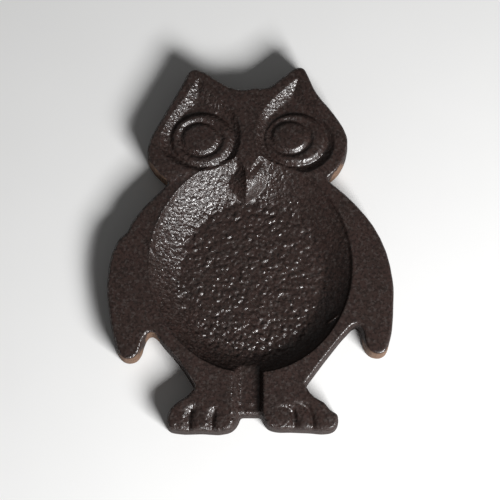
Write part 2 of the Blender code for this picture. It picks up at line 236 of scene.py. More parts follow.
# Small flaws of the casting: ridges as (from, to, half width, height), and lumps as (place,
# radius, height)
RIDGES = (
    ((-40.9, 1.9), (-38.3, -2.2), 0.45, 0.80),
    ((31.2, -29.6), (34.6, -27.2), 0.45, 1.00),
)
LUMPS = (
    ((-13.8, 56.0), 0.8, 0.45),
    ((0.3, -61.5), 1.2, 0.55),
    ((37.6, 3.4), 0.6, 0.20),
    ((-49.0, -41.5), 1.4, 0.25),
)

# The grain of the sand mould: pebbles on the bowl's floor and sand everywhere, by its height
PEBBLE_SIZE = 1.9
PEBBLE_HEIGHT = 0.78
PEBBLE_SINK = 0.25
PEBBLE_REACH = 0.72  # of PEBBLE_SIZE, from a pebble's middle to its edge
PEBBLE_BEND = 0.75  # below 1 the pebbles are rounder and flatter on top
PEBBLE_LEAST = 0.35  # the lowest pebbles' share of the highest ones' height
PEBBLE_MIX = (12.99, 78.23, 37.7, 437.58)  # turns a pebble's middle into its own height
PEBBLE_SHARES = (0.85, 1.20)  # of the height, in the upper bowl and towards the feet
PEBBLE_SHARES_Y = (-24.0, -36.0)
FLOOR_EDGE = (1.5, 0.4)  # how far above the floor the pebbles start, and are in full
FLOOR_EDGE_WANDER = 0.9
FLOOR_EDGE_SIZE = 7.0
SAND_SIZE = 1.0
COARSE_SAND_SIZE = 2.3
PROUD_GRAIN_SIZE = 1.5
PROUD_GRAIN_FROM = (0.45, 0.70)  # only the noise's peaks stand proud
SAND_SHARES = (0.6, 0.4, 0.9)  # of the fine and coarse sand and the proud grains
SAND_SCALE = 1.8
SAND_ON_FLATS = 0.035
SAND_ON_BOWL = 0.150
BOWL_SAND_EDGE = (-0.2, 0.6)  # how far below the top its sand starts, and is in full
SAND_ON_DISCS = 0.105
SAND_ON_FEET = 0.140
SAND_IN_RINGS = 0.063
SAND_SHARE_ON_EYES = 0.35
SAND_SHARE_ON_PUPILS = 0.45
SAND_SHARE_ON_FLOOR = 0.40
SAND_SHARE_ON_WORN_WALL = 0.45
SAND_SHARE_ON_PROW = 0.30
WORN_X = (8.0, 22.0)  # between these the bowl turns to its worn, smoother right side
WAVE_SIZE = 14.0
WAVE_HEIGHT = 0.10

# Each kind of grain reads its own slice of the noise
SLICES = {
    "wave": 3.0,
    "floor edge x": 11.0,
    "floor edge y": 13.0,
    "pebbles": 21.0,
    "fine sand": 31.0,
    "proud grains": 33.0,
    "coarse sand": 37.0,
    "under, fine": 41.0,
    "under, wide": 43.0,
    "jitter x": 51.0,
    "jitter y": 57.0,
    "side wall": 61.0,
}

# The hollow in the underside and the bosses in it
POCKET = (
    (2.0, 60.8), (12.0, 63.0), (19.0, 66.0), (23.6, 60.0), (33.4, 47.6), (33.0, 38.0),
    (27.6, 27.0), (37.6, 17.4), (48.0, 3.4), (53.2, -13.0), (52.6, -28.0), (49.6, -37.6),
    (46.6, -29.0), (41.0, -26.4), (34.0, -33.4),
    (-32.0, -35.6), (-40.0, -29.6), (-45.6, -33.4), (-48.4, -39.6), (-53.0, -24.0),
    (-53.4, -12.0), (-46.0, 5.4), (-37.4, 17.6), (-29.0, 26.6), (-35.6, 36.0), (-35.0, 44.6),
    (-24.6, 62.4), (-20.4, 66.4), (-12.0, 63.0),
)
POCKET_DRAFT = 0.9
BOWL_UNDER = ((-2.9, 30.0), (-2.0, 31.4), (-0.4, 34.0), (1.6, 37.3), (3.6, 40.1), (5.5, 41.9))
BOSS_RADIUS = 6.4
BOSS_DRAFT = 0.6
SEAT_RADIUS = 5.6
SEAT_SMOOTH = 0.4  # how far around a pad's seat there is no grain
UNDER_FILLET = 0.4
UNDER_LIP = 0.6  # the width of a smoother lip at the hollow's edge, with the bowl clear above it
UNDER_LIP_CLEAR = 1.0
UNDER_LIP_SMOOTH = 0.75
UNDER_LIP_LIFT = 0.05
UNDER_FINE_GRAIN = (2.2, 0.10)  # its size and its height
UNDER_WIDE_GRAIN = (9.0, 0.12)
UNDER_ROW_STEP = 0.7
PAD_ROW_STEP = 0.8

# The felt pads: their sides, the play around them, and their rounded upper edge
PAD_SIDES = 72
PAD_PLAY = 0.05
PAD_ROUND = (0.22, 0.14)
PAD_BULGE = 0.06
PAD_FUZZ = (0.012, 0.05)  # shares of the radius and of the height
PAD_FUZZ_SIZE = 1 / 1.7

PADS = (
    "felt_pad_head_left",
    "felt_pad_head_right",
    "felt_pad_wing_left",
    "felt_pad_wing_right",
    "felt_pad_foot_left",
    "felt_pad_foot_right",
)

# Where the paint has rubbed off the side wall, and where a warm reflection of the lamp and floor is
# painted on it as bare iron: the wing tips, the cheeks and the wing gaps
RUBBED_AND_REFLECTION = (
    ((-47.5, -44.5), 8.0),
    ((49.6, -42.0), 9.0),
    ((36.0, 31.0), 6.0),
    ((-37.0, 31.0), 9.0),
    ((-38.5, -35.0), 4.0),
)
RUBBED_AND_REFLECTION_FADE = (0.35, 1.15)  # the shares of a radius where a patch starts to fade, and ends

# The paint. A normal's height is 1 on a level face and 0 on an upright one.
IRON_ROUGHNESS = (0.30, 0.46)
WALL_ROUGHNESS = 0.8
IRON_SPECULAR = 0.30
COAT_ROUGHNESS = 0.14
COAT_WEIGHT = 0.92
COAT_LEAST = 0.45  # the share of it on its thinnest patches
DULL_NORMAL = (0.84, 0.50)  # the normal's heights between which the paint turns dull
LEVEL_NORMAL = (0.995, 0.93)  # and between which its bumps grow
LEVEL_BUMPS = 0.32  # the share of them on level faces
WORN_BUMPS = 0.45  # the share of them on the worn side
PAINT_BUMP = 0.75
COAT_BUMP = 0.58

# Colours, as linear red, green and blue
PAINT_DARK = (0.0275, 0.0172, 0.0145)
PAINT_LIGHT = (0.036, 0.0212, 0.0178)
PAINT_BLOTCH = (0.037, 0.0185, 0.016)
PAINT_DUST = (0.057, 0.046, 0.042)
PAINT_PORE = (0.010, 0.006, 0.005)
# bare iron, and in part a painted warm reflection on the side wall
BARE_AND_REFLECTION_DARK = (0.085, 0.040, 0.026)
BARE_AND_REFLECTION_LIGHT = (0.23, 0.145, 0.092)
FELT_DARK = (0.010, 0.010, 0.011)
FELT_LIGHT = (0.032, 0.031, 0.033)
LINT = (0.13, 0.12, 0.12)
FLOOR_DARK = (0.86, 0.86, 0.855)
FLOOR_LIGHT = (0.89, 0.89, 0.885)
WORLD_COLOUR = (1.0, 0.99, 0.975, 1.0)
WORLD_STRENGTH = 0.07

# The camera and the lights: angles in degrees, azimuth from +X towards +Y, and sizes in metres.
# The camera aims CAMERA_AIM beside the middle of the dish.
CAMERA_ELEVATION = 79.5
CAMERA_DISTANCE = 0.7
CAMERA_AIM = (-0.0001, -0.0006, 0.0)
VIEW_WIDTH = 0.2
FLOOR_SIZE = 3.0
KEY_LIGHT = {"azimuth": -52.0, "elevation": 36.0, "distance": 0.8, "size": (0.34, 0.28), "energy": 10.4}
FILL_LIGHT = {"azimuth": 130.0, "elevation": 45.0, "distance": 1.0, "size": (0.8, 0.8), "energy": 0.2}


# ---- flat shapes


def smooth_step(t):
    t = np.clip(t, 0.0, 1.0)
    return t * t * (3.0 - 2.0 * t)


def fade(value, start, end):
    """Goes smoothly from 0 at start to 1 at end, which may be the lower of the two."""
    return smooth_step((value - start) / (end - start))


def in_box(x, y, box):
    (x_low, x_high), (y_low, y_high) = box
    return (x > x_low) & (x < x_high) & (y > y_low) & (y < y_high)


def smooth_max(a, b, radius):
    """The larger of two heights, with the valley between them filled to about radius."""
    blend = np.clip(0.5 + 0.5 * (a - b) / radius, 0.0, 1.0)
    return b + (a - b) * blend + radius * blend * (1.0 - blend)


def smooth_min(a, b, radius):
    return -smooth_max(-a, -b, radius)


def spline(points, step, closed=True):
    """A smooth line through points, as points about step apart."""
    given = np.array(points, float)
    count = len(given)
    out = []
    for i in range(count if closed else count - 1):
        near = [i - 1, i, i + 1, i + 2]
        near = [k % count if closed else min(max(k, 0), count - 1) for k in near]
        p0, p1, p2, p3 = given[near]
        pieces = max(2, int(np.hypot(*(p2 - p1)) / step))
        t = np.arange(pieces)[:, None] / pieces
        bend = (2 * p0 - 5 * p1 + 4 * p2 - p3) * t**2 + (3 * p1 - p0 - 3 * p2 + p3) * t**3
        out.append(0.5 * (2 * p1 + (p2 - p0) * t + bend))
    if not closed:
        out.append(given[-1:])
    return np.concatenate(out)


def resample(loop, step):
    """A closed line's points, evenly spaced."""
    ring = np.vstack([loop, loop[:1]])
    along = np.concatenate([[0.0], np.cumsum(np.hypot(*np.diff(ring, axis=0).T))])
    places = np.linspace(0.0, along[-1], int(along[-1] / step), endpoint=False)
    return np.column_stack([np.interp(places, along, ring[:, k]) for k in (0, 1)])


def soften(loop, step, width):
    """Rounds the corners of an evenly spaced closed line."""
    reach = int(3 * width / step)
    offsets = np.arange(-reach, reach + 1)
    weights = np.exp(-0.5 * (offsets * step / width) ** 2)
    weights /= weights.sum()
    return sum(w * np.roll(loop, k, axis=0) for w, k in zip(weights, offsets))


def inward_normals(loop):
    along = np.roll(loop, -1, axis=0) - np.roll(loop, 1, axis=0)
    along /= np.hypot(*along.T)[:, None]
    normals = np.column_stack([-along[:, 1], along[:, 0]])
    area = np.sum(loop[:, 0] * np.roll(loop[:, 1], -1) - np.roll(loop[:, 0], -1) * loop[:, 1])
    return normals if area > 0 else -normals


def offset_line(loop, inward, step):
    return resample(loop + inward_normals(loop) * inward, step)


def circle(centre, radius, step):
    angles = np.linspace(0.0, 2 * math.pi, int(2 * math.pi * radius / step), endpoint=False)
    return np.column_stack([centre[0] + radius * np.cos(angles), centre[1] + radius * np.sin(angles)])


class Line:
    """A dense line that says how far points are from it, and how deep inside it where it is closed."""

    def __init__(self, points, closed=True):
        self.points = points
        self.closed = closed
        self.inward = inward_normals(points) if closed else None
        self.tree = KDTree(len(points))
        for i, (x, y) in enumerate(points):
            self.tree.insert((x, y, 0.0), i)
        self.tree.balance()

    def distance(self, places):
        """The distance to the line, and the nearest of the line's own points."""
        nearest = np.array([self.tree.find((x, y, 0.0))[1] for x, y in places])
        far = np.full(len(places), np.inf)
        last = len(self.points) - 1
        for step in (-1, 1):
            other = nearest + step
            other = other % (last + 1) if self.closed else np.clip(other, 0, last)
            start, span = self.points[nearest], self.points[other] - self.points[nearest]
            square = np.maximum((span**2).sum(1), 1e-12)
            t = np.clip(((places - start) * span).sum(1) / square, 0.0, 1.0)
            far = np.minimum(far, np.hypot(*(places - start - span * t[:, None]).T))
        return far, nearest

    def depth(self, places):
        """How far each place lies inside a closed line, below zero outside it."""
        far, nearest = self.distance(places)
        side = ((places - self.points[nearest]) * self.inward[nearest]).sum(1)
        return np.where(side > 0.0, far, -far)


def grain(points, size, kind):
    """Smooth noise from about -1 to 1, whose bumps are about size across."""
    return np.array([noise.noise(Vector((x / size, y / size, SLICES[kind]))) for x, y in points])


def pebbles(points, size):
    """Rounded pebbles that touch each other, of unlike heights from 0 to 1."""
    out = np.empty(len(points))
    for i, (x, y) in enumerate(points):
        far, middles = noise.voronoi(Vector((x / size, y / size, SLICES["pebbles"])))
        turn = sum(part * share for part, share in zip(middles[0], PEBBLE_MIX))
        own = math.sin(turn) * PEBBLE_MIX[3]
        dome = max(0.0, 1.0 - (far[0] / PEBBLE_REACH) ** 2)
        out[i] = dome**PEBBLE_BEND * (PEBBLE_LEAST + (1.0 - PEBBLE_LEAST) * (own - math.floor(own)))
    return out


# ---- the casting


def casting_outline(node):
    """The lower edge of the CAD casting as a dense, slightly rounded closed line, in mm."""
    bm = bmesh.new()
    bm.from_mesh(node.data)
    bmesh.ops.remove_doubles(bm, verts=bm.verts, dist=CAD_MERGE_WITHIN * MM)
    bm.normal_update()
    low = min(v.co.z for v in bm.verts)
    level = [f for f in bm.faces if abs(f.calc_center_median().z - low) < LEVEL_WITHIN * MM]
    under = {f for f in level if f.normal.z < FACING_DOWN}
    links = {}
    for edge in bm.edges:
        if len(edge.link_faces) == 2 and sum(f in under for f in edge.link_faces) == 1:
            a, b = edge.verts
            links.setdefault(a, []).append(b)
            links.setdefault(b, []).append(a)
    loops = []
    while links:
        start = next(iter(links))
        loop = [start]
        here = links.pop(start)[0]
        while here in links:
            loop.append(here)
            here = next((n for n in links.pop(here) if n in links), None)
        loops.append(np.array([(v.co.x / MM, v.co.y / MM) for v in loop]))
    bm.free()
    outer = max(loops, key=lambda loop: np.ptp(loop[:, 0]) * np.ptp(loop[:, 1]))
    return soften(resample(outer, EDGE_STEP / 2), EDGE_STEP / 2, OUTLINE_ROUND)[::2], low / MM


class TurnedHollow:
    """A turned shape that is made longer and leans, from its radius at heights above FLOOR_Z."""

    def __init__(self, profile):
        heights, radii = np.array(profile).T
        dense = np.linspace(heights[0], heights[-1], PROFILE_SAMPLES)
        width = PROFILE_SMOOTHING
        padded = np.pad(np.interp(dense, heights, radii), width, mode="reflect", reflect_type="odd")
        self.heights = dense
        self.radii = np.convolve(padded, np.ones(2 * width + 1) / (2 * width + 1), mode="valid")

    def height(self, x, y):
        """The height at which a level section of the shape runs through each place."""
        low = np.full(len(x), self.heights[0])
        high = np.full(len(x), self.heights[-1])
        for _ in range(HALVINGS):
            middle = (low + high) / 2
            across = x - BOWL_CENTRE[0]
            along = (y - BOWL_CENTRE[1] - BOWL_LEAN * middle) / BOWL_LENGTHEN
            outside = np.hypot(across, along) > np.interp(middle, self.heights, self.radii)
            low = np.where(outside, middle, low)
            high = np.where(outside, high, middle)
        return FLOOR_Z + low

    def radius_at(self, z):
        return float(np.interp(z - FLOOR_Z, self.heights, self.radii))

    def section(self, z, step):
        """The level section at a height, as a closed line."""
        ring = circle((0.0, 0.0), self.radius_at(z), step)
        ring[:, 1] = ring[:, 1] * BOWL_LENGTHEN + BOWL_CENTRE[1] + BOWL_LEAN * (z - FLOOR_Z)
        ring[:, 0] += BOWL_CENTRE[0]
        return ring


class Relief:
    """The height of the casting's top and of its underside, over x and y."""

    def __init__(self, outline, rim_z, head_z, pads):
        self.outline = Line(outline)
        self.rim_z = rim_z
        self.head_z = head_z
        self.pads = pads
        self.bowl = TurnedHollow(BOWL_WALL)
        self.bowl_under = TurnedHollow(BOWL_UNDER)
        self.discs = [Line(spline(face["disc"], DISC_LINE_STEP)) for face in FACES]
        self.pocket = Line(spline(POCKET, LINE_STEP))
        grooves = [spline(line, LINE_STEP, closed=False) for line in TOE_GROOVES]
        self.grooves = [Line(groove, closed=False) for groove in grooves]

    def top(self, points):
        x, y = points.T
        depth = self.outline.depth(points)
        neck = np.interp(x, *np.array(NECK).T)
        z = BODY_Z + (self.head_z - BODY_Z) * fade(y - neck, *NECK_RISE)
        z += WAVE_HEIGHT * (grain(points, WAVE_SIZE, "wave") - 1.0)
        z, sand = self.add_faces(points, z)
        z, sand = self.add_bowl(points, z, sand)
        z = self.add_trough(points, z)
        z, sand = self.add_feet(points, z, depth, sand)
        z = self.add_flaws(points, z)
        z = z + SAND_SCALE * sand * self.sand_grain(points)
        return z - self.edge_drop(depth)

    def sand_grain(self, points):
        """Fine and coarse sand, with a few grains that stand proud."""
        fine = grain(points, SAND_SIZE, "fine sand")
        coarse = grain(points, COARSE_SAND_SIZE, "coarse sand")
        proud = fade(grain(points, PROUD_GRAIN_SIZE, "proud grains"), *PROUD_GRAIN_FROM)
        return sum(share * kind for share, kind in zip(SAND_SHARES, (fine, coarse, proud)))

    def edge_drop(self, depth):
        """How far the rounded upper edge has fallen below the top."""
        t = np.clip((EDGE_ROUND - (np.clip(depth, 0.0, None) - DRAFT)) / EDGE_ROUND, 0.0, 1.0)
        return EDGE_ROUND * (1.0 - np.sqrt(1.0 - t**2))

    def add_faces(self, points, z):
        sand = np.full(len(points), SAND_ON_FLATS)
        for face, disc in zip(FACES, self.discs):
            z, on_wall = self.add_disc(points, z, disc)
            z, reach = self.add_eye(points, z, face)
            share = SAND_SHARE_ON_EYES + (1.0 - SAND_SHARE_ON_EYES) * fade(reach, *EYE_SAND)
            sand = np.maximum(sand, SAND_ON_DISCS * on_wall * share)
            z, groove, ring = self.add_ring(points, z, face)
            sand = np.maximum(sand, SAND_IN_RINGS * groove)
            sand = sand * (1.0 - (1.0 - SAND_SHARE_ON_PUPILS) * fade(ring, *PUPIL_SMOOTH))
        return z, sand

    def add_disc(self, points, z, disc):
        """A sunk face disc, and where its sloping wall is."""
        inside = disc.depth(points)
        width = DISC_WALL + (DISC_WALL_IN_EARS - DISC_WALL) * fade(points[:, 1], *EARS_Y)
        wall = np.clip((inside + DISC_WALL_OUTSIDE) / width, 0.0, 1.0)
        sunk = 1.0 - (1.0 - wall) ** DISC_WALL_BEND
        on_wall = fade(inside, *DISC_SAND_EDGE) * fade(inside - width, *DISC_SAND_FOOT)
        return z - DISC_DEPTH * sunk * fade(inside, *DISC_EDGE), on_wall

    def add_eye(self, points, z, face):
        """An eye's domed mound, and how far each place is from its middle, in shares of its radii."""
        reach = np.hypot(*((points - face["eye"]) / face["eye_radii"]).T)
        side = np.clip((EYE_SIDE[0] - reach) / (EYE_SIDE[0] - EYE_SIDE[1]), 0.0, 1.0)
        mound = EYE_TOP - EYE_CROWN * reach**2 - EYE_DROP * (1.0 - side) ** EYE_SIDE_BEND
        return np.where(reach < EYE_REACH, smooth_max(z, mound, EYE_FILLET), z), reach

    def add_ring(self, points, z, face):
        """The ring groove around a pupil."""
        ring = np.hypot(*((points - face["pupil"]) / RING_RADII).T)
        groove = np.exp(-(((ring - 1.0) * min(RING_RADII) / RING_HALF_WIDTH) ** 2))
        return z - RING_DEPTH * groove, groove, ring

    def add_bowl(self, points, z, sand):
        x, y = points.T
        wall = self.bowl.height(x, y)
        on_floor = self.on_floor(points)
        wall = wall + on_floor * self.pebble_height(y) * (pebbles(points, PEBBLE_SIZE) - PEBBLE_SINK)
        near_beak = self.near_beak(x, y)
        wall = np.where(near_beak, smooth_max(wall, self.beak(x, y), BEAK_FILLET), wall)
        in_bowl = fade(z - wall, *BOWL_SAND_EDGE)
        worn = 1.0 - (1.0 - SAND_SHARE_ON_WORN_WALL) * fade(x, *WORN_X)
        floor_share = 1.0 - (1.0 - SAND_SHARE_ON_FLOOR) * on_floor
        sand = sand + (SAND_ON_BOWL * worn - sand) * in_bowl * floor_share
        on_prow = 1.0 - (1.0 - SAND_SHARE_ON_PROW) * self.front_of_beak(x, y)
        sand = sand * np.where(near_beak, on_prow, 1.0)
        return smooth_min(z + self.bead(x, y), wall, self.edge_round(x, y)), sand

    def on_floor(self, points):
        """One on the bowl's pebbled floor and nought on its wall, with a ragged edge between."""
        wander = [grain(points, FLOOR_EDGE_SIZE, f"floor edge {axis}") for axis in "xy"]
        spot = points + FLOOR_EDGE_WANDER * np.column_stack(wander)
        return fade(self.bowl.height(*spot.T) - FLOOR_Z, *FLOOR_EDGE)

    def pebble_height(self, y):
        upper, lower = PEBBLE_SHARES
        return PEBBLE_HEIGHT * (upper + (lower - upper) * fade(y, *PEBBLE_SHARES_Y))

    def edge_round(self, x, y):
        """How rounded the bowl's edge is."""
        sharp, soft = BOWL_EDGE_ROUND
        rounding = sharp + (soft - sharp) * fade(y, *BOWL_EDGE_ROUND_Y)
        return np.where((np.abs(x) < BEAK_EDGE_HALF) & (y > BEAK_EDGE_FROM_Y), BEAK_EDGE_ROUND, rounding)

    def bead(self, x, y):
        """A thin raised line on the bowl's rim below the head, as the pattern left it."""
        height, width = BOWL_BEAD
        middle_y = BOWL_CENTRE[1] + BOWL_LEAN * (BODY_Z - FLOOR_Z)
        reach = np.hypot(x - BOWL_CENTRE[0], (y - middle_y) / BOWL_LENGTHEN) - self.bowl.radius_at(BODY_Z)
        share = fade(y - middle_y - x, *BOWL_BEAD_UP_LEFT) * fade(x, *BOWL_BEAD_LEFT)
        return height * share * np.exp(-(((reach - BOWL_BEAD_INSET) / width) ** 2))

    def near_beak(self, x, y):
        return in_box(x, y, NEAR_BEAK)

    def on_beak(self, x, y):
        return in_box(x, y, ON_BEAK)

    def past_shoulder(self, x, y):
        """How far right of the beak's shoulder each place is."""
        start, lean = BEAK_SHOULDER
        return x - BEAK_TIP[0] - start - lean * (y - BEAK_TIP[1])

    def beak(self, x, y):
        """The prow's height: up to the head plate inside the V, and falling away on both sides."""
        tip, foot = BEAK_TIP, BEAK_FOOT
        down = np.clip((tip[1] - y) / (tip[1] - foot[1]), 0.0, BEAK_KEEL_END)
        above = np.maximum(y - tip[1], 0.0)
        keel_x = foot[0] - BEAK_KEEL_LEAN * above
        keel_z = tip[2] - (tip[2] - foot[2]) * down**BEAK_BELLY
        left, right = np.maximum(keel_x - x, 0.0), np.maximum(x - keel_x, 0.0)
        step, width = BEAK_LEFT_STEP
        fall = BEAK_LEFT_SLOPE * left + step * (1.0 - np.exp(-left / width))
        past = np.maximum(self.past_shoulder(x, y), 0.0)
        fall = fall + BEAK_FRONT_SLOPE * right + BEAK_CHEEK_SLOPE * past**2 / (past + BEAK_CHEEK_BEND)
        out_left = tip[0] - above / BEAK_V_SLOPES[0] - x
        out_right = x - tip[0] - above / BEAK_V_SLOPES[1]
        inside = np.maximum(-np.maximum(out_left, out_right), 0.0) * (above > 0.0)
        return keel_z - fall + BEAK_LIP_SLOPE * inside

    def front_of_beak(self, x, y):
        """One on the smooth part of the prow, just below the V, and nought off it."""
        above_foot = fade(y - BEAK_FOOT[1], *PROW_ABOVE_FOOT)
        before_shoulder = fade(self.past_shoulder(x, y), *PROW_PAST_SHOULDER)
        return above_foot * before_shoulder * fade(x - BEAK_FOOT[0], *PROW_PAST_KEEL)

    def add_trough(self, points, z):
        x, y = points.T
        left = (TROUGH_X - TROUGH_HALF - x) / TROUGH_LEFT_WALL
        right = np.clip((x - TROUGH_X - TROUGH_HALF) / TROUGH_RIGHT_WALL, 0.0, TROUGH_RIGHT_LIMIT)
        rise = TROUGH_LEFT_SHARE * smooth_step(left) + right**TROUGH_RIGHT_BEND
        lip_y, lip_width, lip_height = TROUGH_LIP
        lip = lip_height * np.exp(-(((y - lip_y) / lip_width) ** 2))
        sag = TROUGH_SAG * ((x - TROUGH_X) / TROUGH_HALF) ** 2
        floor = TROUGH_Z + sag + (BODY_Z - TROUGH_Z) * rise + lip
        return np.where(y < TROUGH_FROM_Y, smooth_min(z, floor, TROUGH_FILLET), z)

    def add_feet(self, points, z, depth, sand):
        x, y = points.T
        feet = fade(y, *FEET_Y)
        t = np.clip((TOE_ROUND - depth) / TOE_ROUND, 0.0, 1.0)
        front = fade(y, *TOE_FRONT_Y) * fade(np.abs(x), *TOE_FRONT_X)
        z = z - TOE_DROP * (1.0 - np.sqrt(1.0 - t**2)) * front
        valley_width, valley_depth = TOE_VALLEY
        for line in self.grooves:
            far, _ = line.distance(points)
            start = fade(y - line.points[0][1], *TOE_GROOVE_START)
            z = z - TOE_DEPTH * start * np.exp(-((far / TOE_GROOVE_WIDTH) ** 2))
            z = z - valley_depth * start * feet * np.exp(-((far / valley_width) ** 2))
        return z, np.maximum(sand, SAND_ON_FEET * feet)

    def add_flaws(self, points, z):
        for start, end, width, height in RIDGES:
            ridge = Line(spline((start, end), RIDGE_LINE_STEP, closed=False), closed=False)
            far, _ = ridge.distance(points)
            z = z + height * np.exp(-((far / width) ** 2))
        for place, radius, height in LUMPS:
            far = np.hypot(*(points - place).T)
            z = z + height * np.exp(-((far / radius) ** 2))
        return z

    def under(self, points):
        """The underside: the hollow's ceiling, the bowl coming through it, and the pads' bosses."""
        x, y = points.T
        inside = self.pocket.depth(points)
        z = self.rim_z + (POCKET_Z - self.rim_z) * np.clip(inside / POCKET_DRAFT, 0.0, 1.0)
        bulge = self.bowl_under.height(x, y)
        z = smooth_min(z, bulge, UNDER_FILLET)
        nearest_pad = np.min([np.hypot(x - at_x, y - at_y) for at_x, at_y in self.pads], axis=0)
        side = np.clip((nearest_pad - BOSS_RADIUS) / BOSS_DRAFT, 0.0, 1.0)
        z = np.where(side < 1.0, np.minimum(z, PAD_SEAT_Z + (POCKET_Z - PAD_SEAT_Z) * side), z)
        z = np.where(nearest_pad < SEAT_RADIUS, PAD_SEAT_Z, z)
        on_lip = fade(inside, UNDER_LIP, 0.0) * (bulge > self.rim_z + UNDER_LIP_CLEAR)
        (fine_size, fine_height), (wide_size, wide_height) = UNDER_FINE_GRAIN, UNDER_WIDE_GRAIN
        rough = fine_height * grain(points, fine_size, "under, fine")
        rough += wide_height * grain(points, wide_size, "under, wide")
        rough *= 1.0 - UNDER_LIP_SMOOTH * on_lip
        rough = np.where(nearest_pad < SEAT_RADIUS + SEAT_SMOOTH, 0.0, rough)
        return np.maximum(z + rough + UNDER_LIP_LIFT * on_lip, self.rim_z)


def triangle_net(low, high, step):
    """Points on a triangular net that fills a box."""
    rows = np.arange(low[1], high[1], step * math.sqrt(0.75))
    columns = np.arange(low[0], high[0], step)
    x, y = np.meshgrid(columns, rows)
    x[::2] += step / 2
    return np.column_stack([x.ravel(), y.ravel()])


def thin_out(points, others, radius):
    """The points that are further than radius from every one of the others."""
    tree = KDTree(len(others))
    for i, (x, y) in enumerate(others):
        tree.insert((x, y, 0.0), i)
    tree.balance()
    return points[[tree.find((x, y, 0.0))[2] > radius for x, y in points]]


def fill(bm, ring, inner, height):
    """Fills a closed ring with triangles through the inner points, lifted to their heights."""
    flat = [Vector(p) for p in np.vstack([ring, inner])]
    face = [list(range(len(ring)))]
    places, _, triangles, *_ = delaunay_2d_cdt(flat, [], face, 1, 1e-7)
    spots = np.array([(p.x, p.y) for p in places])
    verts = [bm.verts.new((x * MM, y * MM, z * MM)) for (x, y), z in zip(spots, height(spots))]
    for triangle in triangles:
        bm.faces.new([verts[i] for i in triangle])


def top_points(relief, ring):
    """Where the top is sampled: finest on the beak and in the bowl, with rows along the edges."""
    low, high = ring.min(0), ring.max(0)
    rim = relief.bowl.section(BODY_Z, ROW_STEP)
    rows = [offset_line(rim, inward, ROW_STEP) for inward in RIM_ROWS]
    rows += [offset_line(disc.points, inward, ROW_STEP) for disc in relief.discs for inward in DISC_ROWS]
    rows = np.concatenate(rows)

    beak = triangle_net(low, high, BEAK_STEP)
    beak = beak[relief.on_beak(*beak.T)]
    in_rim = Line(rim).depth
    bowl = triangle_net(low, high, BOWL_STEP)
    bowl = bowl[in_rim(bowl) > BOWL_NET_INSIDE]
    face = triangle_net(low, high, FACE_STEP)
    face = face[(face[:, 1] > FACE_FROM_Y) | (face[:, 1] < FEET_FROM_Y)]
    rest = triangle_net(low, high, TOP_STEP)
    rest = rest[(rest[:, 1] <= FACE_FROM_Y) & (rest[:, 1] >= FEET_FROM_Y)]
    around = np.concatenate([face, rest])
    around = around[in_rim(around) < OTHER_NETS_INSIDE]
    spread = thin_out(np.concatenate([bowl, around]), np.concatenate([rows, beak]), GAP_TO_ROWS)
    points = np.concatenate([spread, thin_out(rows, beak, GAP_TO_BEAK), beak])
    jitter = [grain(points, JITTER_SIZE, f"jitter {axis}") for axis in "xy"]
    points = points + JITTER * np.column_stack(jitter)
    return points[Line(ring).depth(points) > GAP_TO_EDGE]


def under_points(relief, ring):
    """Where the underside is sampled, with rows along the hollow's edge and around the bosses."""
    shares = (0.0, 0.5, 1.0)
    rows = [offset_line(relief.pocket.points, share * POCKET_DRAFT, UNDER_ROW_STEP) for share in shares]
    for pad in relief.pads:
        for radius in (SEAT_RADIUS - 0.05, SEAT_RADIUS + 0.05, BOSS_RADIUS, BOSS_RADIUS + BOSS_DRAFT):
            rows.append(circle(pad, radius, PAD_ROW_STEP))
    rows = np.concatenate(rows)
    spread = thin_out(triangle_net(ring.min(0), ring.max(0), UNDER_STEP), rows, UNDER_GAP_TO_ROWS)
    points = np.concatenate([spread, rows])
    return points[Line(ring).depth(points) > UNDER_GAP_TO_EDGE]


def side_rings(relief, outline):
    """The side wall and the rounded edge over it, as rings of points from the lip upwards."""
    inward = inward_normals(outline)

    def ring_at(depth):
        return outline + inward * np.reshape(depth, (-1, 1))

    foot_in, foot_up = LIP_FOOT
    lip, foot = ring_at(LIP_ROUND), ring_at(foot_in)
    foot_z = np.full(len(foot), relief.rim_z + foot_up)
    rings = [np.column_stack([lip, relief.under(lip)]), np.column_stack([foot, foot_z])]
    edge_z = relief.top(ring_at(DRAFT))
    for share in np.linspace(WALL_FROM, 1.0, WALL_RINGS):
        z = relief.rim_z + (edge_z - relief.rim_z) * share
        places = np.column_stack([outline.sum(1), z])
        rough = WALL_GRAIN * (1.0 + grain(places, WALL_GRAIN_SIZE, "side wall"))
        rough = rough * min(1.0, (1.0 - share) / WALL_GRAIN_END)
        rings.append(np.column_stack([ring_at(DRAFT * share + rough), z]))
    for depth in np.linspace(0.0, EDGE_ROUND, ROUND_RINGS + 1)[1:]:
        ring = ring_at(DRAFT + depth)
        rings.append(np.column_stack([ring, relief.top(ring)]))
    return rings


def make_casting(node, pads):
    """One closed mesh: the top, the side wall as rings between its edges, and the underside."""
    outline, rim_z = casting_outline(node)
    head_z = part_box(node.name)[1][2] / MM
    relief = Relief(outline, rim_z, head_z, pads)
    rings = side_rings(relief, outline)
    low_ring, top_ring = rings[0][:, :2], rings[-1][:, :2]

    bm = bmesh.new()
    fill(bm, top_ring, top_points(relief, top_ring), relief.top)
    fill(bm, low_ring, under_points(relief, low_ring), relief.under)
    levels = [[bm.verts.new(tuple(place * MM)) for place in ring] for ring in rings]
    for below, above in zip(levels, levels[1:]):
        for i in range(len(below)):
            j = (i + 1) % len(below)
            bm.faces.new((below[i], below[j], above[j], above[i]))
    bmesh.ops.remove_doubles(bm, verts=bm.verts, dist=MERGE_WITHIN * MM)
    bmesh.ops.recalc_face_normals(bm, faces=bm.faces)
    return finished(bm, "owl_casting_cast")


def finished(bm, name):
    """A smooth-shaded object of a mesh."""
    mesh = bpy.data.meshes.new(name)
    bm.to_mesh(mesh)
    bm.free()
    mesh.polygons.foreach_set("use_smooth", np.ones(len(mesh.polygons), bool))
    thing = bpy.data.objects.new(name, mesh)
    bpy.context.scene.collection.objects.link(thing)
    return thing


